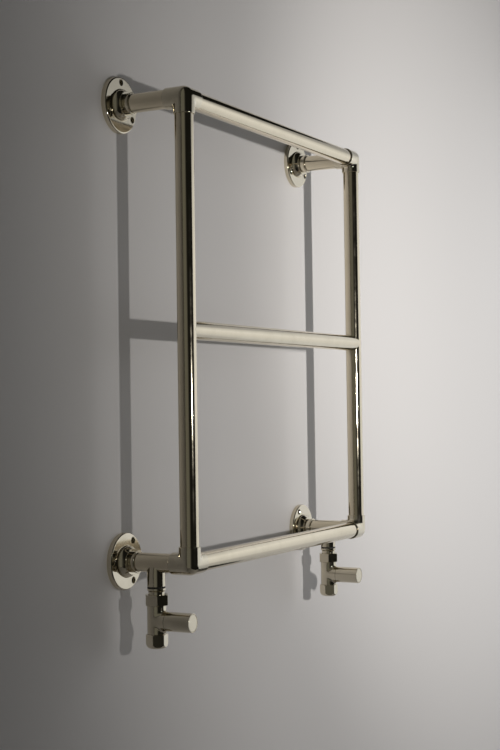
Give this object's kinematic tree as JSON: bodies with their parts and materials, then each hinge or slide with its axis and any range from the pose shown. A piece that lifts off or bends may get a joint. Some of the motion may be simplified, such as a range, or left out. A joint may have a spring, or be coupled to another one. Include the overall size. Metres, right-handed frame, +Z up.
{
  "type": "radiator with valve",
  "caption": "Wall-hung tubular towel radiator frame with standoffs, round wall plates and a manual straight valve under each lower standoff.",
  "frame": {"origin": "on the wall's surface, midway between the centres of the four wall plates", "axes": "+X along the wall to the right as seen from the room, +Y into the wall, +Z up"},
  "size_m": [0.684, 0.131, 0.8406],
  "materials": {
    "polished_nickel": "polished warm nickel plate on brass",
    "brass": "turned, unplated",
    "black_rubber": "matt moulded rubber",
    "steel": "zinc-plated screw"
  },
  "bodies": {
    "root": {"upright_left": "polished_nickel", "upright_right": "polished_nickel", "rail_top": "polished_nickel", "rail_middle": "polished_nickel", "rail_bottom": "polished_nickel", "corner_top_left": "polished_nickel", "standoff_top_left": "polished_nickel", "wall_plate_top_left": "polished_nickel", "wall_collar_top_left": "polished_nickel", "corner_top_right": "polished_nickel", "standoff_top_right": "polished_nickel", "wall_plate_top_right": "polished_nickel", "wall_collar_top_right": "polished_nickel", "corner_bottom_left": "polished_nickel", "standoff_bottom_left": "polished_nickel", "wall_plate_bottom_left": "polished_nickel", "wall_collar_bottom_left": "polished_nickel", "corner_bottom_right": "polished_nickel", "standoff_bottom_right": "polished_nickel", "wall_plate_bottom_right": "polished_nickel", "wall_collar_bottom_right": "polished_nickel", "tail_stub_left": "polished_nickel", "tail_seal_left": "black_rubber", "union_tail_left": "polished_nickel", "union_nut_left": "polished_nickel", "valve_body_left": "polished_nickel", "pipe_nut_left": "polished_nickel", "olive_left": "brass", "bonnet_left": "brass", "tail_stub_right": "polished_nickel", "tail_seal_right": "black_rubber", "union_tail_right": "polished_nickel", "union_nut_right": "polished_nickel", "valve_body_right": "polished_nickel", "pipe_nut_right": "polished_nickel", "olive_right": "brass", "bonnet_right": "brass", "vent_boss": "polished_nickel"},
    "handle_left": {"handle_left": "polished_nickel", "handle_cap_left": "polished_nickel", "handle_screw_left": "steel", "spindle_left": "brass", "spindle_o_ring_left": "black_rubber"},
    "plug_left": {"valve_plug_left": "brass", "plug_washer_left": "black_rubber"},
    "handle_right": {"handle_right": "polished_nickel", "handle_cap_right": "polished_nickel", "handle_screw_right": "steel", "spindle_right": "brass", "spindle_o_ring_right": "black_rubber"},
    "plug_right": {"valve_plug_right": "brass", "plug_washer_right": "black_rubber"},
    "vent_screw": {"vent_screw": "polished_nickel"}
  },
  "joints": [
    {"name": "handle_left_turn", "type": "hinge", "parent": "root", "child": "handle_left", "pos_m": [-0.3, -0.058, -0.4218], "axis": [0, -1, 0], "range_deg": [0, 720]},
    {"name": "plug_left_lift", "type": "slide", "parent": "root", "child": "plug_left", "axis": [0, -1, 0], "range_m": [0, 0.003]},
    {"name": "handle_right_turn", "type": "hinge", "parent": "root", "child": "handle_right", "pos_m": [0.3, -0.058, -0.4218], "axis": [0, -1, 0], "range_deg": [0, 720]},
    {"name": "plug_right_lift", "type": "slide", "parent": "root", "child": "plug_right", "axis": [0, -1, 0], "range_m": [0, 0.003]},
    {"name": "vent_screw_turn", "type": "hinge", "parent": "root", "child": "vent_screw", "pos_m": [0.24, -0.115, 0.3375], "axis": [0, 1, 0], "range_deg": [-360, 0]}
  ],
  "couplings": [
    {"joint": "plug_left_lift", "follows": "handle_left_turn", "m_per_rad": 0.00023873},
    {"joint": "plug_right_lift", "follows": "handle_right_turn", "m_per_rad": 0.00023873}
  ]
}
